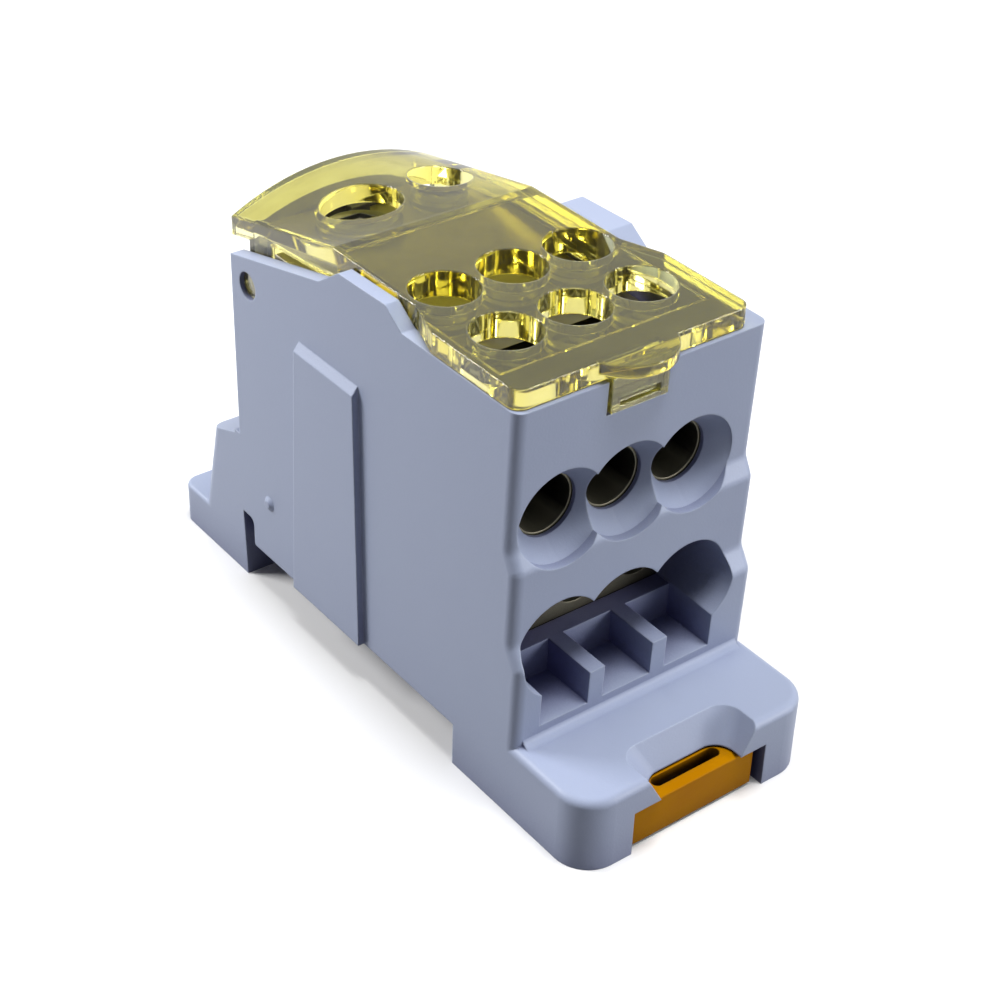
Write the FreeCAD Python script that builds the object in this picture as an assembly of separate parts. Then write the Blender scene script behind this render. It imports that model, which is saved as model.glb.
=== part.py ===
import FreeCAD, Part
import math
import os

# Single-pole distribution block for a 35 mm mounting rail.
# Millimetres. X is across the block, the outgoing wires enter from -Y, the incoming ones from +Y, Z is up.
# Lengths along Y are written from the middle of the rail. Each piece is then moved so that the origin is
# at the middle of the footprint, on the surface that the feet stand on.

# Overall
front_reach = 36.7
rear_reach = 30.7

# Rail seat: the flanges of a standard rail lie against the seat, in a slightly wider gap
rail_width = 35.0
rail_play = 1.0
seat_z = 4.6
hook_relief_width = 2.0
hook_relief_top = 7.7
hook_lean = 0.35
hook_lip_bite = 1.8
hook_lip_top = 3.2
hook_lip_half_width = 8.0

# Front foot, with the finger scallop over the clip
foot_top_z = 7.8
foot_corner_r = 3.5
foot_edge_r = 0.8
scallop_half_width = 6.4
scallop_depth = 4.3
scallop_foot_half_width = 4.7
scallop_foot_depth = 3.0
scallop_r = 2.0

# Rear foot and the slanted step that stiffens it
rear_foot_z = 4.5
rear_corner_r = 1.6
rear_toe = 3.8
rear_step_slant = 3.0
rear_step_z = 14.7
rear_step_root_z = 16.9

# Front face: three tiers, each a little forward of the one above and leaning back towards its foot
front_face_y = -25.7
front_draft = 2.0
tier_1_z = (41.4, 27.8)
tier_2_z = (26.0, 18.4)
tier_3_top_z = 16.4
tier_2_step = 0.95
tier_3_step = 1.25
tier_r = 1.2
front_corner_r = 1.0
cove_r = 0.9

# Top edge of the side walls, from rear to front
side_rear_z = 36.8
side_valley = (2.9, 40.6)
side_crest_rear = (-0.3, 42.8)
side_crest_front = (-7.35, 43.0)
side_crest_foot_y = -9.8

# Raised pad and locating pip on each side face
pad_proud = 0.65
pad_top_z = 32.9
pad_top_slope = 0.85
pad_rear_y = (7.75, 6.4)
pad_front_y = (-3.65, -3.15)
pip_y = 12.8
pip_z = 11.4
pip_r = 0.8
pip_proud = 0.35

# Cavity for the works: it stands off the middle, so the right wall is the thicker one
left_wall = 1.45
right_wall = 3.25
works_side = 3.92
floor_z = 11.4
nose_z = 23.1
nose_depth = 3.7
front_wall = 2.3
rim_wall = 4.3
rear_wall = 2.0

# Outgoing wires: three columns, an upper and a lower row
pitch = 7.23
upper_bore_z = 29.6
lower_bore_z = 16.7
output_bore_r = 2.85
throat_gap = 0.2
throat_length = 0.4
funnel_r = 4.6
pocket_back_wall = 1.9
pocket_r = 4.7
pocket_draft = 0.35
pocket_floor_z = 9.3
pocket_side = 2.6
rib_width = 1.7
rib_top_z = 12.8

# Incoming wires
input_bore_z = 25.0
large_offset = -3.2
large_bore_r = 4.5
small_offset = 6.2
small_bore_r = 3.0

# Clamp screws, backed off so that the wire bores are clear
front_row_y = -17.1
back_row_y = -8.45
large_screw_inset = 7.9
small_screw_inset = 7.1
small_screw_r = 2.75
large_screw_r = 3.9
thread_gap = 0.05
screw_tip_gap = 0.25
front_screw_top_z = 39.4
rear_screw_top_z = 40.2
screw_edge = 0.35
small_hex = 4.0
large_hex = 5.0
hex_depth = 2.4
output_bore_past = 4.1
lower_bore_shift = 0.25
input_bore_past = 5.8
drill_point = 0.6

# Terminal block: its front is tucked under the rim of the front wall, and a nib on the rear wall holds it down
seat_gap = 0.1
front_deck_z = 37.0
rear_deck_z = 38.6
nib_width = 2.0
nib_height = 0.8
nib_bite = 1.0

# Hinge of the cover
hinge_inset = 2.85
hinge_z = 34.6
hinge_hole_r = 1.4
hinge_gap = 0.07
peg_recess = 0.45
arm_r = 2.0
arm_width = 1.5
arm_clearance = 0.3
rear_arch_z = 39.6
rear_arch_end_z = 37.4

# Cover sheet, and the thicker panel of it that lies inside the housing
cover_top_z = 43.4
cover_sheet = 1.9
cover_panel = 0.6
cover_gap = 0.15
cover_front_y = -25.3
cover_setback = 1.0
cover_flare_y = (-13.9, -9.7)
cover_flare_r = 1.5
cover_corner_r = 1.2
cover_knee_y = 3.0
cover_overhang = 2.3
cover_arch_peak_z = 42.25
cover_arch_r = 25.0

# Side guides and screwdriver holes of the cover
guide_width = 1.3
guide_depth = 3.3
guide_foot_gap = 0.6
tool_hole_r = 3.2
large_tool_hole_r = 3.9
small_tool_hole_r = 3.1

# Latch at the front of the cover
lip_half_width = 4.2
lip_reach = 2.8
lip_thickness = 1.1
tongue_half_width = 3.05
tongue_length = 3.1
tongue_thickness = 1.45
tongue_proud = 0.2
tongue_window_half_width = 2.2
tongue_window_rise = (0.5, 1.3)
tongue_window_depth = 0.5
notch_gap = 0.25
notch_back_gap = 0.6

# Rail clip, a slider in a channel under the front foot
channel_half_width = 7.75
channel_top_z = 4.75
clip_x = -0.3
clip_half_width = 7.1
clip_bottom_z = 0.2
clip_top_gap = 0.2
clip_setback = 0.6
clip_bevel = 0.6
clip_bite = 1.6
clip_rail_gap = 0.5
jaw_z = 3.3
clip_travel = 2.6
clip_slot_half_length = 3.9
clip_slot_width = 1.2
clip_slot_inset = 1.6
guide_rail_reach = 0.5
guide_rail_z = (1.7, 2.7)
guide_rail_inset = 4.7
guide_rail_length = 12.8
guide_rail_gap = 0.15
arm_slot_width = 0.9
arm_slot_inset = 1.8
arm_slot_length = 9.8
barb_reach = 0.9
barb_length = 1.0
barb_inset = 0.7
stop_gap = 0.1

works_half_width = pitch + works_side
body_width = left_wall + 2 * works_half_width + right_wall
half_width = body_width / 2
cover_half_width = half_width - cover_setback
rail_gap = rail_width + rail_play
rail_front_y = -rail_gap / 2
rail_rear_y = rail_gap / 2
front_y = -front_reach
rear_y = rear_reach
side_top_z = tier_1_z[0]
works_left = -half_width + left_wall
works_right = works_left + 2 * works_half_width
works_x = works_left + works_half_width
columns = [works_x + pitch * step for step in (-1, 0, 1)]
dividers = [works_x - pitch / 2, works_x + pitch / 2]
large_screw_y = rail_rear_y - large_screw_inset
small_screw_y = rail_rear_y - small_screw_inset
hinge_y = rail_rear_y - hinge_inset
large_x = works_x + large_offset
small_x = works_x + small_offset

draft = math.tan(math.radians(front_draft))
tier_1_foot_y = front_face_y + draft * (tier_1_z[0] - tier_1_z[1])
tier_2_top_y = tier_1_foot_y - tier_2_step
tier_2_foot_y = tier_2_top_y + draft * (tier_2_z[0] - tier_2_z[1])
tier_3_top_y = tier_2_foot_y - tier_3_step
tier_3_foot_y = tier_3_top_y + draft * (tier_3_top_z - foot_top_z)
rim_face_y = front_face_y + rim_wall
rim_z = front_deck_z + seat_gap
upper_face_y = tier_1_foot_y + front_wall
lower_face_y = upper_face_y + nose_depth
funnel_back_y = upper_face_y - throat_length
pocket_back_y = lower_face_y - pocket_back_wall
rear_face_y = rail_rear_y - rear_wall
throat_r = output_bore_r + throat_gap
cover_rear_y = rail_rear_y + cover_overhang
cover_narrow = works_half_width - cover_gap
tongue_y = front_face_y - tongue_proud
tongue_foot_z = cover_top_z - cover_sheet - tongue_length


def at(x, y, z):
    return FreeCAD.Vector(x, y, z)


def box(x0, x1, y0, y1, z0, z1):
    return Part.makeBox(x1 - x0, y1 - y0, z1 - z0, at(x0, y0, z0))


def rod(start, direction, radius, reach):
    return Part.makeCylinder(radius, reach, at(*start), at(*direction))


def cone(start, direction, start_r, end_r, reach):
    return Part.makeCone(start_r, end_r, reach, at(*start), at(*direction))


# Closed wire through (u, v) or (u, v, radius) points, with each corner rounded by its radius
def outline(points, lift):
    arcs = []
    count = len(points)
    for i, point in enumerate(points):
        radius = point[2] if len(point) > 2 else 0
        here = lift(*point[:2])
        if not radius:
            arcs.append((here, None, here))
            continue
        back = (lift(*points[i - 1][:2]) - here).normalize()
        ahead = (lift(*points[(i + 1) % count][:2]) - here).normalize()
        half_angle = back.getAngle(ahead) / 2
        inward = (back + ahead).normalize()
        crown = here + inward * (radius / math.sin(half_angle) - radius)
        run = radius / math.tan(half_angle)
        arcs.append((here + back * run, crown, here + ahead * run))
    edges = []
    for i, (first, crown, last) in enumerate(arcs):
        if crown is not None:
            edges.append(Part.Arc(first, crown, last).toShape())
        following = arcs[(i + 1) % count][0]
        if last.distanceToPoint(following) > 1e-6:
            edges.append(Part.LineSegment(last, following).toShape())
    return Part.Wire(edges)


# Solid with a (y, z) side outline, from x0 to x1
def across(points, x0, x1):
    face = Part.Face(outline(points, lambda y, z: at(x0, y, z)))
    return face.extrude(at(x1 - x0, 0, 0))


# Solid with an (x, y) plan, from z0 to z1
def upward(points, z0, z1):
    face = Part.Face(outline(points, lambda x, y: at(x, y, z0)))
    return face.extrude(at(0, 0, z1 - z0))


def rounded(shape, radius, chosen):
    return shape.makeFillet(radius, [edge for edge in shape.Edges if chosen(edge.BoundBox)])


def chamfered(shape, size, chosen):
    return shape.makeChamfer(size, [edge for edge in shape.Edges if chosen(edge.BoundBox)])


def front_foot():
    plan = [(-half_width, front_y, foot_corner_r), (half_width, front_y, foot_corner_r),
            (half_width, rail_front_y), (-half_width, rail_front_y)]
    foot = upward(plan, 0, foot_top_z)
    return rounded(foot, foot_edge_r, lambda b: b.ZMin > foot_top_z - 0.01 and b.YMin < rail_front_y - 0.01)


def rear_foot():
    plan = [(-half_width, rail_rear_y), (half_width, rail_rear_y),
            (half_width, rear_y, rear_corner_r), (-half_width, rear_y, rear_corner_r)]
    foot = upward(plan, 0, rear_foot_z)
    foot = rounded(foot, foot_edge_r / 2,
                   lambda b: b.ZMin > rear_foot_z - 0.01 and b.YMax > rail_rear_y + 0.01)
    step_foot_y = rear_y - rear_toe
    step_top_y = step_foot_y - rear_step_slant
    step = across([(rail_rear_y, seat_z / 2), (step_foot_y, seat_z / 2), (step_top_y, rear_step_z),
                   (rail_rear_y, rear_step_root_z)], -half_width, half_width)
    slanted = rear_step_z - seat_z
    step = rounded(step, rear_corner_r,
                   lambda b: b.XLength < 1e-4 and b.YMin > rail_rear_y + 1 and b.ZLength > slanted)
    return foot.fuse([step, hook()])


# Face behind the rail's rear flange, with the lip that hooks under the flange
def hook():
    face = across([(rail_rear_y - hook_lean, 0), (rail_rear_y + 1, 0), (rail_rear_y + 1, rear_step_root_z),
                   (rail_rear_y, rear_step_root_z), (rail_rear_y, hook_relief_top)], -half_width, half_width)
    lip_y = rail_rear_y - hook_lip_bite
    lip = across([(rail_rear_y + 0.5, 0.4), (lip_y, 1.2, 0.3), (lip_y, hook_lip_top, 0.2),
                  (rail_rear_y + 0.5, hook_lip_top)], -hook_lip_half_width, hook_lip_half_width)
    return face.fuse(lip)


def body():
    top = [(rail_rear_y, side_rear_z), side_valley + (0.8,), side_crest_rear + (0.3,),
           side_crest_front + (0.3,), (side_crest_foot_y, side_top_z, 0.4), (front_face_y, side_top_z)]
    front = [(tier_1_foot_y, tier_1_z[1], tier_r), (tier_2_top_y, tier_2_z[0], tier_r),
             (tier_2_foot_y, tier_2_z[1], tier_r), (tier_3_top_y, tier_3_top_z, tier_r),
             (tier_3_foot_y, foot_top_z)]
    relief_y = rail_rear_y - hook_relief_width
    sunk_z = foot_top_z - 2
    bottom = [(tier_3_foot_y, sunk_z), (rail_front_y, sunk_z), (rail_front_y, seat_z),
              (relief_y, seat_z, 0.2),
              (relief_y, hook_relief_top, 0.8), (rail_rear_y, hook_relief_top)]
    shape = across(top + front + bottom, -half_width, half_width)
    front_most = front_face_y + 0.7
    shape = rounded(shape, front_corner_r,
                    lambda b: b.XLength < 1e-4 and b.YMax < front_most and b.ZLength > 0.1)
    return shape.fuse(cove())


# Hollow fillet where the lowest tier meets the foot
def cove():
    y = tier_3_foot_y
    z = foot_top_z
    half = half_width - front_corner_r
    strip = across([(y + 0.5, z - 0.3), (y + 0.5, z + cove_r), (y, z + cove_r), (y - cove_r, z),
                    (y - cove_r, z - 0.3)],
                   -half, half)
    return strip.cut(rod((-half_width, y - cove_r, z + cove_r), (1, 0, 0), cove_r, body_width))


def side_pads():
    pads = []
    for side in (-1, 1):
        wires = []
        for proud, top in ((0, pad_top_z), (pad_proud, pad_top_z - pad_top_slope)):
            x = side * (half_width + proud)
            corners = [at(x, pad_rear_y[0], seat_z), at(x, pad_rear_y[1], top),
                       at(x, pad_front_y[1], top), at(x, pad_front_y[0], seat_z)]
            wires.append(Part.makePolygon(corners + corners[:1]))
        pads.append(Part.makeLoft(wires, True, True))
        pads.append(cone((side * half_width, pip_y, pip_z), (side, 0, 0), pip_r, pip_r / 2, pip_proud))
    return pads


# Arched top of the rear wall, under the arched end of the cover
def rear_arch():
    reach = cover_narrow - arm_width - arm_clearance
    left = works_x - reach
    right = works_x + reach
    crown = Part.Arc(at(left, rear_face_y, rear_arch_end_z), at(works_x, rear_face_y, rear_arch_z),
                     at(right, rear_face_y, rear_arch_end_z)).toShape()
    corners = [at(right, rear_face_y, rear_arch_end_z), at(right, rear_face_y, hinge_z),
               at(left, rear_face_y, hinge_z), at(left, rear_face_y, rear_arch_end_z)]
    face = Part.Face(Part.Wire([crown] + Part.makePolygon(corners).Edges))
    return face.extrude(at(0, rear_wall, 0))


def cavity():
    clear_z = cover_top_z + 2
    steps = [(rear_face_y, floor_z), (rear_face_y, clear_z), (rim_face_y, clear_z), (rim_face_y, rim_z),
             (upper_face_y, rim_z), (upper_face_y, nose_z), (lower_face_y, nose_z), (lower_face_y, floor_z)]
    return across(steps, works_left, works_right)


# Slots in the rear wall that the arms of the cover swing through
def arm_slots():
    width = cover_gap + arm_width + arm_clearance
    low = hinge_z - arm_r - arm_clearance
    slots = []
    for start in (works_left, works_right - width):
        slots.append(box(start, start + width, hinge_y, rail_rear_y + 1, low, cover_top_z))
    return slots


def upper_entries():
    cuts = []
    mouth_y = tier_1_foot_y
    for x in columns:
        cuts.append(cone((x, funnel_back_y, upper_bore_z), (0, -1, 0), throat_r, funnel_r,
                         funnel_back_y - mouth_y))
        cuts.append(rod((x, mouth_y, upper_bore_z), (0, -1, 0), funnel_r, mouth_y - tier_3_top_y + 1))
        cuts.append(rod((x, upper_face_y + 1, upper_bore_z), (0, -1, 0), throat_r, throat_length + 1.5))
    return cuts


# Pockets for the lower wires: below the rib tops they end at a low wall, above it they open onto the terminal block
def lower_pockets():
    out_y = tier_3_top_y - 2
    left = works_x - pitch - pocket_side
    right = works_x + pitch + pocket_side
    through_y = lower_face_y + 1
    reach = through_y - tier_3_top_y
    pocket = box(left, right, out_y, through_y, pocket_floor_z, lower_bore_z)
    small_r = pocket_r - pocket_draft
    pocket = pocket.fuse([cone((x, through_y, lower_bore_z), (0, -1, 0), small_r, pocket_r, reach)
                          for x in columns])
    walls = [box(x - rib_width / 2, x + rib_width / 2, out_y, through_y, pocket_floor_z, rib_top_z)
             for x in dividers]
    walls.append(box(left - pocket_r, right + pocket_r, pocket_back_y, through_y, pocket_floor_z, rib_top_z))
    return [pocket.cut(walls)]


def input_entries():
    entries = []
    for x, bore_r in ((large_x, large_bore_r), (small_x, small_bore_r)):
        entries.append(rod((x, rear_face_y - 1, input_bore_z), (0, 1, 0), bore_r + throat_gap, rear_wall + 2))
    return entries


# Channel for the clip, with a groove for its guide rails and a pocket for its stop barbs
def clip_channel():
    run = box(-channel_half_width, channel_half_width, front_y - 1, rail_front_y + 1, -1, channel_top_z)
    reach = channel_half_width + guide_rail_reach
    low = guide_rail_z[0] - guide_rail_gap
    high = guide_rail_z[1] + guide_rail_gap
    groove_y = front_y + guide_rail_inset - clip_travel - stop_gap
    groove = box(-reach, reach, groove_y, rail_front_y + 1, low, high)
    reach = channel_half_width + barb_reach
    barb_y = rail_front_y - barb_inset - barb_length
    pocket = box(-reach, reach, barb_y - clip_travel - stop_gap, rail_front_y - barb_inset + stop_gap, low,
                 seat_z - 0.8)
    return [run, groove, pocket]


def scallop():
    out_y = front_y - 3

    def plan(half, depth, z):
        corners = [(-half, out_y), (half, out_y), (half, front_y + depth, scallop_r),
                   (-half, front_y + depth, scallop_r)]
        return outline(corners, lambda x, y: at(x, y, z))
    lower = plan(scallop_foot_half_width, scallop_foot_depth, channel_top_z)
    upper = plan(scallop_half_width, scallop_depth, foot_top_z)
    well = Part.makeLoft([lower, upper], True, True)
    mouth = Part.Face(lower).extrude(at(0, 0, -1))
    lift = Part.Face(upper).extrude(at(0, 0, 1))
    return [well, mouth, lift]


# Notch for the tongue, with room behind it for the tongue's swing
def latch_notch():
    half = tongue_half_width + notch_gap
    back_y = tongue_y + tongue_thickness + notch_back_gap
    return box(works_x - half, works_x + half, front_face_y - 1, back_y, tongue_foot_z - notch_gap,
               side_top_z + 1)


def nib():
    low = rear_deck_z + seat_gap
    half = nib_width / 2
    return box(works_x - half, works_x + half, rear_face_y - nib_bite, rear_face_y + 0.2, low,
               low + nib_height)


def housing():
    shape = body().fuse([front_foot(), rear_foot(), rear_arch()] + side_pads())
    cuts = [cavity(), latch_notch(),
            rod((-half_width - 1, hinge_y, hinge_z), (1, 0, 0), hinge_hole_r, body_width + 2)]
    cuts += arm_slots() + upper_entries() + lower_pockets() + input_entries() + clip_channel() + scallop()
    return shape.cut(cuts).fuse(nib()).removeSplitter()


# Wire bore that runs out along Y from its end, which is pointed like the drill
def blind_bore(end, way, radius):
    return [rod(end, (0, way, 0), radius, front_reach),
            cone(end, (0, -way, 0), radius, 0, drill_point * radius)]


def terminal_block():
    step_y = (front_row_y + back_row_y) / 2
    front = upper_face_y + seat_gap
    nose = nose_z + seat_gap
    lower = lower_face_y + seat_gap
    rear = rear_face_y - seat_gap
    steps = [(rear, floor_z), (rear, rear_deck_z), (step_y, rear_deck_z), (step_y, front_deck_z),
             (front, front_deck_z),
             (front, nose), (lower, nose), (lower, floor_z)]
    shape = across(steps, works_left + seat_gap, works_right - seat_gap)
    notch = arm_width + 2 * arm_clearance + cover_gap
    notch_y = hinge_y - arm_r - 2 * arm_clearance
    low = hinge_z - arm_r - 2 * arm_clearance
    cuts = [box(works_left - 1, works_left + notch, notch_y, rear + 1, low, rear_deck_z + 1),
            box(works_right - notch, works_right + 1, notch_y, rear + 1, low, rear_deck_z + 1)]
    thread_r = small_screw_r + thread_gap
    for row_y, bore_z, bore_shift in ((front_row_y, upper_bore_z, 0),
                                      (back_row_y, lower_bore_z, lower_bore_shift)):
        for x in columns:
            cuts += blind_bore((x + bore_shift, row_y + output_bore_past, bore_z), -1, output_bore_r)
            cuts.append(rod((x, row_y, bore_z), (0, 0, 1), thread_r, cover_top_z - bore_z))
    for x, y, bore_r, screw_r in ((large_x, large_screw_y, large_bore_r, large_screw_r),
                                  (small_x, small_screw_y, small_bore_r, small_screw_r)):
        cuts += blind_bore((x, y - input_bore_past, input_bore_z), 1, bore_r)
        cuts.append(rod((x, y, input_bore_z), (0, 0, 1), screw_r + thread_gap, cover_top_z - input_bore_z))
    return shape.cut(cuts)


def clamp_screw(x, y, top_z, bore_top_z, radius, hex_size):
    tip_z = bore_top_z + screw_tip_gap
    shape = rod((x, y, tip_z), (0, 0, 1), radius, top_z - tip_z)
    shape = chamfered(shape, screw_edge, lambda b: b.ZMin > top_z - 0.01)
    corner_r = hex_size / math.sqrt(3)
    turns = [math.radians(60 * i) for i in range(7)]
    corners = [at(x + corner_r * math.cos(turn), y + corner_r * math.sin(turn), top_z - hex_depth)
               for turn in turns]
    socket = Part.Face(Part.makePolygon(corners)).extrude(at(0, 0, hex_depth + 1))
    return shape.cut(socket)


# Front part of the sheet, up to the knee: wide over the side walls, narrow between their crests
def cover_front():
    right = [(cover_half_width, cover_front_y, cover_corner_r),
             (cover_half_width, cover_flare_y[0], cover_flare_r),
             (cover_narrow, cover_flare_y[1], cover_flare_r), (cover_narrow, cover_knee_y)]
    left = [(-point[0],) + point[1:] for point in reversed(right)]
    plan = [(works_x + point[0],) + point[1:] for point in right + left]
    return upward(plan, cover_top_z - cover_sheet, cover_top_z)


# Thicker panel inside the walls, which centres the sheet
def cover_panel_block():
    low = cover_top_z - cover_sheet - cover_panel
    high = cover_top_z - cover_sheet / 2
    return box(works_x - cover_narrow, works_x + cover_narrow, rim_face_y + cover_gap, cover_knee_y, low,
               high)


# How far along the tail a place is: 0 at the knee, 1 at the rear edge
def tail_share(y):
    return max(y - cover_knee_y, 0) / (cover_rear_y - cover_knee_y)


# Drop of the arched rear edge below its peak, which is over the middle of the body
def arch_drop(x):
    return cover_arch_r - math.sqrt(cover_arch_r ** 2 - x ** 2)


# Height of the sheet's top
def cover_z(x, y):
    return cover_top_z - tail_share(y) * (cover_top_z - cover_arch_peak_z + arch_drop(x))


# Rear part of the sheet: flat at the knee, an arch at its end
def cover_tail():
    left = works_x - cover_narrow
    right = works_x + cover_narrow
    wires = []
    for y in (cover_knee_y, cover_rear_y):
        curves = []
        for depth in (0, cover_sheet):
            ends = [at(x, y, cover_z(x, y) - depth) for x in (left, right)]
            crown = at(0, y, cover_z(0, y) - depth)
            flat = y == cover_knee_y
            curves.append(Part.LineSegment(*ends) if flat else Part.Arc(ends[0], crown, ends[1]))
        top, under = [curve.toShape() for curve in curves]
        sides = [Part.LineSegment(at(x, y, cover_z(x, y)), at(x, y, cover_z(x, y) - cover_sheet)).toShape()
                 for x in (left, right)]
        wires.append(Part.Wire([top, sides[1], under, sides[0]]))
    return Part.makeLoft(wires, True, True)


# Guide, hinge arm and peg on each side of the narrow part
def side_works():
    pieces = []
    rear_guide_y = hinge_y - arm_r
    half_sheet = cover_sheet / 2
    for side in (-1, 1):
        edge = works_x + side * cover_narrow
        rear_edge = cover_z(edge, cover_rear_y) - cover_sheet
        guide = [(cover_flare_y[1], cover_top_z - guide_depth), (cover_knee_y, cover_top_z - guide_depth),
                 (rear_guide_y, rear_deck_z + guide_foot_gap), (cover_rear_y, rear_edge),
                 (cover_rear_y, rear_edge + half_sheet), (cover_knee_y, cover_top_z - half_sheet),
                 (cover_flare_y[1], cover_top_z - half_sheet)]
        arm_top = cover_z(edge, hinge_y + arm_r) - half_sheet
        inner = sorted((edge, edge - side * guide_width))
        pieces.append(across(guide, *inner))
        inner = sorted((edge, edge - side * arm_width))
        pieces.append(box(*inner, rear_guide_y, hinge_y + arm_r, hinge_z, arm_top))
        pieces.append(rod((inner[0], hinge_y, hinge_z), (1, 0, 0), arm_r, arm_width))
        peg_reach = half_width - peg_recess - side * edge
        pieces.append(rod((edge, hinge_y, hinge_z), (side, 0, 0), hinge_hole_r - hinge_gap, peg_reach))
    return pieces


# Thumb lip, and the tongue that fills the notch in the front wall
def latch():
    low_z = cover_top_z - cover_sheet
    radius = (lip_half_width ** 2 + lip_reach ** 2) / (2 * lip_reach)
    disc = rod((works_x, cover_front_y - lip_reach + radius, cover_top_z - lip_thickness), (0, 0, 1), radius,
               lip_thickness)
    front = box(works_x - radius, works_x + radius, cover_front_y - lip_reach, cover_front_y + 0.5, low_z,
                cover_top_z)
    tongue = box(works_x - tongue_half_width, works_x + tongue_half_width, tongue_y,
                 tongue_y + tongue_thickness,
                 tongue_foot_z, low_z + 0.2)
    window_z = [tongue_foot_z + rise for rise in tongue_window_rise]
    window = box(works_x - tongue_window_half_width, works_x + tongue_window_half_width, tongue_y - 1,
                 tongue_y + tongue_window_depth, *window_z)
    return [disc.common(front), tongue.cut(window)]


def cover():
    holes = [(x, y, tool_hole_r) for x in columns for y in (front_row_y, back_row_y)]
    holes += [(large_x, large_screw_y, large_tool_hole_r), (small_x, small_screw_y, small_tool_hole_r)]
    cuts = [rod((x, y, rear_deck_z), (0, 0, 1), radius, cover_top_z) for x, y, radius in holes]
    pieces = [cover_panel_block(), cover_tail()] + side_works() + latch()
    return cover_front().fuse(pieces).cut(cuts).removeSplitter()


def rail_clip():
    left = clip_x - clip_half_width
    right = clip_x + clip_half_width
    front = front_y + clip_setback
    top_z = channel_top_z - clip_top_gap
    face_y = rail_front_y - clip_rail_gap
    jaw_y = rail_front_y + rail_play / 2 + clip_bite
    profile = [(front, clip_bottom_z, 0.2), (front, top_z - clip_bevel / 2, 0.15),
               (front + clip_bevel, top_z, 0.15),
               (face_y, top_z, 0.2), (face_y, jaw_z), (jaw_y, jaw_z - 0.2, 0.3),
               (jaw_y - 1.2, clip_bottom_z, 0.2)]
    shape = across(profile, left, right)
    reach = channel_half_width + guide_rail_reach - guide_rail_gap
    guide_y = front_y + guide_rail_inset
    rails = box(-reach, reach, guide_y, guide_y + guide_rail_length, *guide_rail_z)
    tip = channel_half_width + barb_reach - guide_rail_gap
    barb_y = rail_front_y - barb_inset
    barb_z = seat_z - 1.1
    barbs = upward([(-tip, barb_y, 0.1), (-reach, barb_y - barb_length), (reach, barb_y - barb_length),
                    (tip, barb_y, 0.1)],
                   guide_rail_z[0], barb_z)
    slot_y = front + clip_slot_inset
    end_r = clip_slot_width / 2
    straight = clip_slot_half_length - end_r
    cuts = [box(-straight, straight, slot_y - end_r, slot_y + end_r, -1, top_z + 1)]
    for x in (-straight, straight):
        cuts.append(rod((x, slot_y, -1), (0, 0, 1), end_r, top_z + 2))
    slot_end = barb_y - barb_length - stop_gap
    for side in (-1, 1):
        x = clip_x + side * (clip_half_width - arm_slot_inset)
        cuts.append(box(x - arm_slot_width / 2, x + arm_slot_width / 2, slot_end - arm_slot_length,
                        barb_y + 0.3, -1, top_z + 1))
        outer = sorted((x, side * (tip + 1)))
        cuts.append(box(*outer, barb_y, barb_y + arm_slot_width, -1, top_z + 1))
    return shape.fuse([rails, barbs]).cut(cuts)


def pieces():
    made = {"housing": housing(), "cover": cover(), "terminal_block": terminal_block(),
            "rail_clip": rail_clip()}
    for number, x in enumerate(columns, start=1):
        bore_top = upper_bore_z + output_bore_r
        made[f"front_screw_{number}"] = clamp_screw(x, front_row_y, front_screw_top_z, bore_top,
                                                    small_screw_r, small_hex)
        bore_top = lower_bore_z + output_bore_r
        made[f"back_screw_{number}"] = clamp_screw(x, back_row_y, rear_screw_top_z, bore_top, small_screw_r,
                                                   small_hex)
    bore_top = input_bore_z + large_bore_r
    made["large_input_screw"] = clamp_screw(large_x, large_screw_y, rear_screw_top_z, bore_top, large_screw_r,
                                            large_hex)
    bore_top = input_bore_z + small_bore_r
    made["small_input_screw"] = clamp_screw(small_x, small_screw_y, rear_screw_top_z, bore_top, small_screw_r,
                                            small_hex)
    to_origin = at(0, (front_reach - rear_reach) / 2, 0)
    for shape in made.values():
        shape.translate(to_origin)
    return made


os.makedirs("parts", exist_ok=True)
for name, shape in pieces().items():
    shape.exportStep(f"parts/{name}.step")
    bound = shape.optimalBoundingBox(False)
    print(name, "solids", len(shape.Solids), "valid", shape.isValid(), "volume", round(shape.Volume, 1),
          "x", round(bound.XMin, 2), round(bound.XMax, 2), "y", round(bound.YMin, 2), round(bound.YMax, 2),
          "z", round(bound.ZMin, 2), round(bound.ZMax, 2))
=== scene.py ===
import bpy, math
from mathutils import Matrix, Vector

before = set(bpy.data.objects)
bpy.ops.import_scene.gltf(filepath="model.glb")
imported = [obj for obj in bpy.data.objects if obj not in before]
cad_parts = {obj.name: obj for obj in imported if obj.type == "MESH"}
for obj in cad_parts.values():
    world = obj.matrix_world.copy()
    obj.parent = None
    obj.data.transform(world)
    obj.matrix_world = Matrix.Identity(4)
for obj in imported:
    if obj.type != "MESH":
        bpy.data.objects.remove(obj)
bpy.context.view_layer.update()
print("frame loaded:", len(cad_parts), "nodes")

mm = 0.001
black, white = (0, 0, 0, 1), (1, 1, 1, 1)


# A socket that takes part in sums, so that a pattern reads as a formula
class Val:
    def __init__(self, shader, socket):
        self.shader = shader
        self.socket = socket

    def sum(self, operation, *inputs):
        return self.shader.add("ShaderNodeMath", {"operation": operation}, inputs)

    def __add__(self, other): return self.sum("ADD", self, other)
    def __radd__(self, other): return self.sum("ADD", other, self)
    def __sub__(self, other): return self.sum("SUBTRACT", self, other)
    def __rsub__(self, other): return self.sum("SUBTRACT", other, self)
    def __mul__(self, other): return self.sum("MULTIPLY", self, other)
    def __rmul__(self, other): return self.sum("MULTIPLY", other, self)
    def sine(self): return self.sum("SINE", self)
    def over(self, edge): return self.sum("GREATER_THAN", self, edge)


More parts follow.
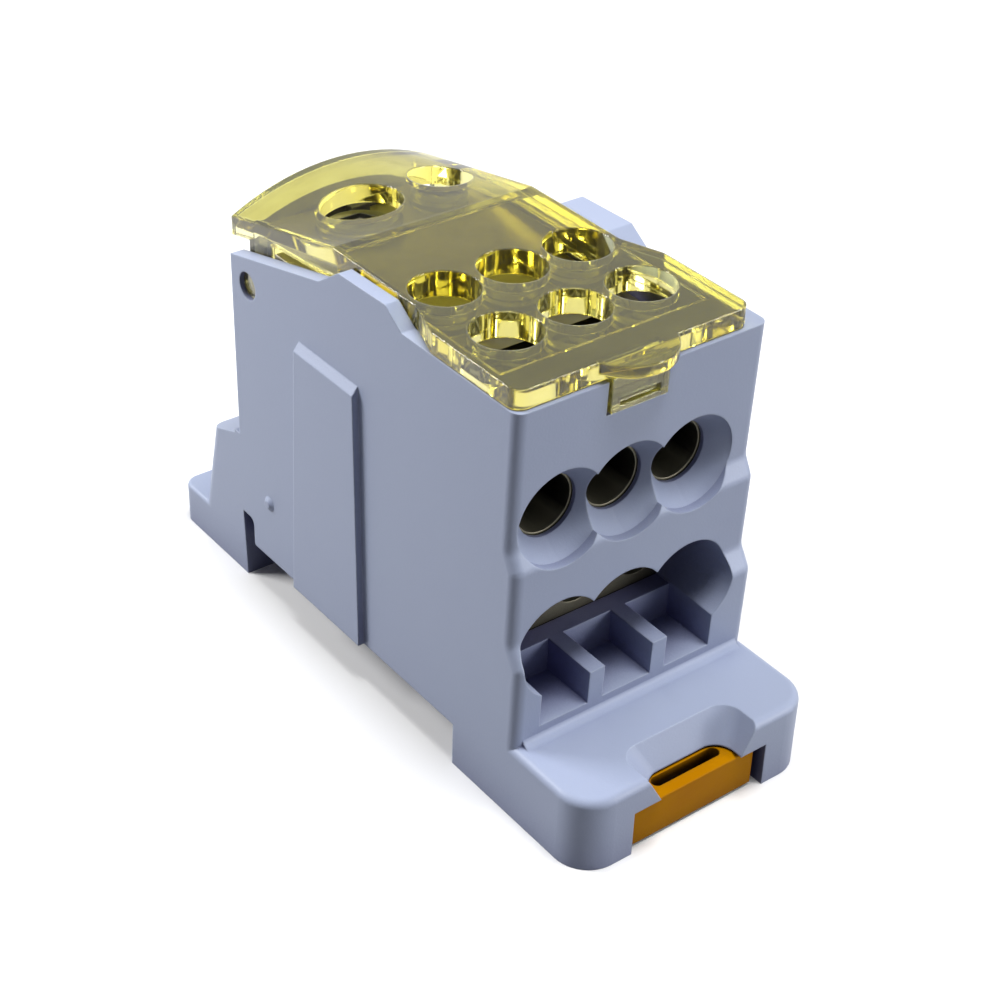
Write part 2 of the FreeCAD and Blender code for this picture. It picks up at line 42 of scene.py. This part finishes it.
# The masks that all finishes share: the rays that each one sends, and the span of it that is spread to 0..1
masks = {"bevelSamples": 6, "edgeHighlightSpan": (0.01, 0.16), "recessShadeSamples": 8, "recessShadeSpan": (0.3, 0.85),
         "levelSpan": (0.25, 0.6)}


# A surface, or the world around it, with its nodes
class Finish:
    def __init__(self, owner, outKind="ShaderNodeOutputMaterial"):
        owner.use_nodes = True
        self.owner = owner
        self.tree = owner.node_tree
        self.tree.nodes.clear()
        self.out = self.tree.nodes.new(outKind)

    def plug(self, target, value):
        if isinstance(value, Val):
            self.tree.links.new(value.socket, target)
        else:
            target.default_value = value

    # any node: its settings first, then its sockets by name or in order
    def add(self, kind, settings=None, sockets=None, output=0):
        node = self.tree.nodes.new(kind)
        for key, value in (settings or {}).items():
            setattr(node, key, value)
        named = sockets.items() if isinstance(sockets, dict) else enumerate(sockets or [])
        for key, value in named:
            self.plug(node.inputs[key], value)
        return Val(self, node.outputs[output])

    def place(self):
        return self.add("ShaderNodeTexCoord", output="Object")

    def axis(self, letter):
        return self.add("ShaderNodeSeparateXYZ", {}, [self.place()], output=letter)

    def noise(self, size, detail, roughness=0.5, stretch=(1, 1, 1)):
        scaled = self.add("ShaderNodeVectorMath", {"operation": "MULTIPLY"}, [self.place(), stretch])
        sockets = {"Vector": scaled, "Scale": 1 / size, "Detail": detail, "Roughness": roughness}
        return self.add("ShaderNodeTexNoise", {}, sockets)

    # low to high becomes 0 to 1
    def spread(self, value, low, high):
        return self.add("ShaderNodeMapRange", {}, [value, low, high, 0.0, 1.0])

    # a Mix node of type RGBA has its colours in sockets 6 and 7 and its result in output 2
    def blend(self, mask, first, second):
        return self.add("ShaderNodeMix", {"data_type": "RGBA"}, {0: mask, 6: first, 7: second}, output=2)

    def rounded(self, radius):
        return self.add("ShaderNodeBevel", {"samples": masks["bevelSamples"]}, {"Radius": radius})

    # 0 on a flat face, 1 where the surface bends sharply: the mask for painted highlights on edges
    def edges(self, radius):
        normals = [self.rounded(radius), self.add("ShaderNodeNewGeometry", output="Normal")]
        same = self.add("ShaderNodeVectorMath", {"operation": "DOT_PRODUCT"}, normals, output="Value")
        return self.spread(1 - same, *masks["edgeHighlightSpan"])

    # 0 in the open, 1 far into a pocket or under the cover: the mask for painted shade in recesses
    def recessShadeMask(self, reach):
        samples = {"samples": masks["recessShadeSamples"]}
        seen = self.add("ShaderNodeAmbientOcclusion", samples, {"Distance": reach}, output="AO")
        return self.spread(1 - seen, *masks["recessShadeSpan"])

    # 1 on the part's level faces, 0 on its walls, at any pose
    def level(self):
        normal = self.add("ShaderNodeTexCoord", output="Normal")
        up = self.add("ShaderNodeSeparateXYZ", {}, [normal], output="Z")
        return self.spread(up * up, *masks["levelSpan"])

    def bump(self, height, distance, normal, strength=1.0):
        sockets = {"Height": height, "Distance": distance, "Strength": strength, "Normal": normal}
        return self.add("ShaderNodeBump", {}, sockets)

    # 1 where the camera, a gloss or the clear cover looks, 0 where the surface only lights others
    def looked(self):
        camera, glossy, clear = (self.add("ShaderNodeLightPath", output=f"Is {kind} Ray")
                                 for kind in ("Camera", "Glossy", "Transmission"))
        return (camera + glossy + clear).over(0.5)

    def finish(self, **sockets):
        named = {key.replace("_", " "): value for key, value in sockets.items()}
        self.plug(self.out.inputs["Surface"], self.add("ShaderNodeBsdfPrincipled", {}, named))
        return self.owner


def newFinish(name):
    return Finish(bpy.data.materials.new(name))


# A screen colour, 0..255, as the linear one that a socket takes
def srgb(r, g, b):
    parts = (c / 255 for c in (r, g, b))
    return tuple(c / 12.92 if c <= 0.04045 else ((c + 0.055) / 1.055) ** 2.4 for c in parts) + (1,)


def dress(material, *nodes):
    for name in nodes:
        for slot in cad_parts[name].material_slots:
            slot.material = material


# Each noise below is its size, its detail and, where it isn't plain, its roughness and stretch.

# Moulded housing: satin plastic with a fine spark-eroded grain, painted highlights on its edges and painted
# shade in its recesses
housingLook = {"colour": srgb(160, 170, 193), "shade": srgb(152, 161, 187), "mottle": (14 * mm, 4),
               "edgeHighlight": srgb(190, 198, 216), "edge": 0.2 * mm, "edgeHighlightShare": 0.35,
               "recessShade": srgb(80, 80, 122), "reach": 12 * mm, "grain": (0.22 * mm, 2), "grainDepth": 0.012 * mm,
               "rough": 0.4, "mottleRough": 0.12, "grainRough": 0.04, "gloss": 0.35}


def mouldedPlastic(look):
    f = newFinish("mouldedHousing")
    mottle = f.noise(*look["mottle"])
    grain = f.noise(*look["grain"])
    normal = f.bump(grain, look["grainDepth"], f.rounded(look["edge"]))
    colour = f.blend(mottle, look["shade"], look["colour"])
    # painted highlight: edges and rims lightened towards a paler blue-grey
    colour = f.blend(f.edges(look["edge"]) * look["edgeHighlightShare"], colour, look["edgeHighlight"])
    # painted shade: dark blue-grey in pockets and under the cover
    colour = f.blend(f.recessShadeMask(look["reach"]), colour, look["recessShade"])
    rough = look["rough"] + mottle * look["mottleRough"] - grain * look["grainRough"]
    return f.finish(Base_Color=colour, Roughness=rough, Normal=normal, Specular_IOR_Level=look["gloss"])


# Rail clip: the same moulding in orange, with painted shade in its slot and recesses
clipLook = {"colour": srgb(182, 126, 0), "shade": srgb(164, 102, 0), "mottle": (6 * mm, 3),
            "recessShade": srgb(30, 12, 0), "reach": 5 * mm, "grain": (0.25 * mm, 2), "grainDepth": 0.01 * mm,
            "edge": 0.18 * mm, "rough": 0.38, "mottleRough": 0.1, "gloss": 0.05}


def orangePlastic(look):
    f = newFinish("orangeClip")
    mottle = f.noise(*look["mottle"])
    grain = f.noise(*look["grain"])
    normal = f.bump(grain, look["grainDepth"], f.rounded(look["edge"]))
    colour = f.blend(mottle, look["shade"], look["colour"])
    # painted shade: near-black brown in the slot and recesses
    colour = f.blend(f.recessShadeMask(look["reach"]), colour, look["recessShade"])
    rough = look["rough"] + mottle * look["mottleRough"]
    return f.finish(Base_Color=colour, Roughness=rough, Normal=normal, Specular_IOR_Level=look["gloss"])


# Cover: clear yellow polycarbonate; its level faces carry a darker olive tint with lighter patches, partly its
# own colour and partly painted shade, its walls a pale tint as painted light, and its rims a painted highlight
coverLook = {"face": (0.44, 0.41, 0.07, 1), "lighterPatch": (0.56, 0.53, 0.14, 1), "cloud": (6 * mm, 5, 0.6),
             "cloudSpan": (0.35, 0.65), "wall": (1.0, 0.96, 0.6, 1), "rim": (1.0, 0.99, 0.76, 1),
             "edge": 0.26 * mm, "depth": (0.95, 0.88, 0.02, 1), "density": 140.0,
             "flow": (8 * mm, 1), "flowDepth": 0.03 * mm, "flowStrength": 0.7,
             "haze": (0.4 * mm, 4), "rough": 0.02, "hazeRough": 0.05, "clear": 0.97, "bend": 1.57, "gloss": 0.3}


def clearPlastic(look):
    f = newFinish("clearCover")
    normal = f.bump(f.noise(*look["flow"]), look["flowDepth"], f.rounded(look["edge"]), look["flowStrength"])
    cloud = f.spread(f.noise(*look["cloud"]), *look["cloudSpan"])
    # painted shade and light: level faces take the darker olive tint with lighter patches, walls the pale tint
    colour = f.blend(f.level(), look["wall"], f.blend(cloud, look["face"], look["lighterPatch"]))
    # painted highlight: rims lightened to a pale yellow
    colour = f.blend(f.edges(look["edge"]), colour, look["rim"])
    rough = look["rough"] + f.noise(*look["haze"]) * look["hazeRough"]
    material = f.finish(Base_Color=colour, Roughness=rough, Normal=normal, IOR=look["bend"],
                        Specular_IOR_Level=look["gloss"], Transmission_Weight=look["clear"])
    body = f.add("ShaderNodeVolumeAbsorption", {}, {"Color": look["depth"], "Density": look["density"]})
    f.plug(f.out.inputs["Volume"], body)
    return material


# Terminal block: dull plated brass, drawn along its length, darker towards its front as painted shade, and with
# painted shade on its upright walls in recesses
blockLook = {"colour": srgb(190, 184, 160), "shade": srgb(130, 126, 108), "cloud": (5 * mm, 5, 0.6),
             "front": srgb(140, 136, 118), "frontShadeSpan": (0, -6 * mm), "frontShadeWander": 3 * mm,
             "recessShade": srgb(30, 28, 30), "reach": 12 * mm, "edge": 0.15 * mm,
             "scratch": (0.3 * mm, 2, 0.5, (0.12, 1, 1)), "scratchDepth": 0.008 * mm, "scratchStrength": 0.8,
             "rough": 0.34, "cloudRough": 0.18, "scratchRough": 0.08}


def platedBrass(look):
    f = newFinish("platedBlock")
    cloud = f.noise(*look["cloud"])
    scratch = f.noise(*look["scratch"])
    normal = f.bump(scratch, look["scratchDepth"], f.rounded(look["edge"]), look["scratchStrength"])
    front = f.spread(f.axis("Y") + cloud * look["frontShadeWander"], *look["frontShadeSpan"])
    colour = f.blend(cloud, look["shade"], look["colour"])
    # painted shade: darker towards the block's front, along a wandering border
    colour = f.blend(front, colour, look["front"])
    # painted shade: upright walls darken in recesses
    colour = f.blend(f.recessShadeMask(look["reach"]) * (1 - f.level()), colour, look["recessShade"])
    rough = look["rough"] + cloud * look["cloudRough"] + scratch * look["scratchRough"]
    return f.finish(Base_Color=colour, Metallic=1.0, Roughness=rough, Normal=normal)


# Clamp screws: zinc-plated steel, with the thread as ridges down the side
screwLook = {"colour": srgb(160, 160, 152), "shade": srgb(106, 106, 100), "cloud": (2.5 * mm, 4),
             "edge": 0.15 * mm, "pitch": 1.0 * mm, "threadDepth": 0.25 * mm, "rough": 0.2, "cloudRough": 0.2}


def platedSteel(look):
    f = newFinish("platedScrew")
    cloud = f.noise(*look["cloud"])
    ridges = (f.axis("Z") * (math.tau / look["pitch"])).sine() * (1 - f.level())
    normal = f.bump(ridges, look["threadDepth"], f.rounded(look["edge"]))
    colour = f.blend(cloud, look["shade"], look["colour"])
    rough = look["rough"] + cloud * look["cloudRough"]
    return f.finish(Base_Color=colour, Metallic=1.0, Roughness=rough, Normal=normal)


dress(mouldedPlastic(housingLook), "housing")
dress(orangePlastic(clipLook), "rail_clip")
dress(clearPlastic(coverLook), "cover")
dress(platedBrass(blockLook), "terminal_block")
dress(platedSteel(screwLook), *[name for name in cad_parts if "screw" in name])
print("finishes set")


# Studio: the floor and the world are white where they are looked at, and give a plain low light elsewhere.
# The floor turns from lit white to glowing white with distance, so that no horizon shows.
studio = {"floorHalf": 0.6, "floorFade": (0.10, 0.34), "floorSeen": (0.9, 0.9, 0.9, 1),
          "floorBounce": (0.1, 0.1, 0.11, 1), "floorRough": 0.7, "ambient": 0.08, "aim": (0, 0, 0.02),
          # name, place, size in metres, watts and whether it shows in a gloss
          "lamps": [("key", (-0.20, 0.24, 0.22), 0.14, 1.3, True),
                    ("top", (0.03, -0.07, 0.50), 0.2, 2.5, False),
                    ("front", (0.32, -0.40, 0.16), 0.2, 1.4, True)]}


def makeFloor(s):
    half = s["floorHalf"]
    corners = [(-half, -half, 0), (half, -half, 0), (half, half, 0), (-half, half, 0)]
    mesh = bpy.data.meshes.new("floor")
    mesh.from_pydata(corners, [], [(0, 1, 2, 3)])
    floor = bpy.data.objects.new("floor", mesh)
    bpy.context.collection.objects.link(floor)
    f = newFinish("paleFloor")
    away = f.add("ShaderNodeVectorMath", {"operation": "LENGTH"}, [f.place()], output="Value")
    fade = f.spread(away, *s["floorFade"]) * f.looked()
    colour = f.blend(fade, f.blend(f.looked(), s["floorBounce"], s["floorSeen"]), black)
    glow = f.blend(fade, black, white)
    mesh.materials.append(f.finish(Base_Color=colour, Roughness=s["floorRough"], Emission_Color=glow,
                                   Emission_Strength=1.0))


def makeWorld(s):
    f = Finish(bpy.data.worlds.new("studio"), "ShaderNodeOutputWorld")
    strength = s["ambient"] + f.looked() * (1 - s["ambient"])
    sky = f.add("ShaderNodeBackground", {}, {"Color": white, "Strength": strength})
    f.plug(f.out.inputs["Surface"], sky)
    bpy.context.scene.world = f.owner


def makeLamps(s):
    for name, spot, size, power, glint in s["lamps"]:
        lamp = bpy.data.lights.new(name, "AREA")
        lamp.energy = power
        lamp.size = size
        holder = bpy.data.objects.new(name, lamp)
        holder.location = spot
        holder.visible_glossy = glint
        holder.rotation_euler = (Vector(s["aim"]) - Vector(spot)).to_track_quat("-Z", "Y").to_euler()
        bpy.context.collection.objects.link(holder)


makeFloor(studio)
makeWorld(studio)
makeLamps(studio)


# Camera, as fitted to the photo's outline: angles in degrees, spot and lens in millimetres
camera = {"azimuth": -39.305, "elevation": 33.853, "roll": 2.551, "spot": (-97.739, -127.912, 125.939),
          "lens": 73.38, "sensor": 36, "shift": (-0.0338, -0.0194), "near": 5 * mm}


def makeCamera(c):
    az, el, roll = (math.radians(c[key]) for key in ("azimuth", "elevation", "roll"))
    away = Vector((math.sin(az) * math.cos(el), -math.cos(az) * math.cos(el), math.sin(el)))
    side = Vector((0, 0, 1)).cross(away).normalized()
    up = away.cross(side)
    rolledSide = side * math.cos(roll) + up * math.sin(roll)
    rolledUp = up * math.cos(roll) - side * math.sin(roll)
    turned = Matrix((rolledSide, rolledUp, away)).transposed().to_4x4()
    lens = bpy.data.cameras.new("camera")
    lens.lens = c["lens"]
    lens.sensor_width = c["sensor"]
    lens.shift_x, lens.shift_y = c["shift"]
    lens.clip_start = c["near"]
    view = bpy.data.objects.new("camera", lens)
    view.matrix_world = Matrix.Translation(Vector(c["spot"]) * mm) @ turned
    bpy.context.collection.objects.link(view)
    bpy.context.scene.camera = view


makeCamera(camera)
bpy.context.scene.view_settings.view_transform = "Standard"
print("studio and camera set")
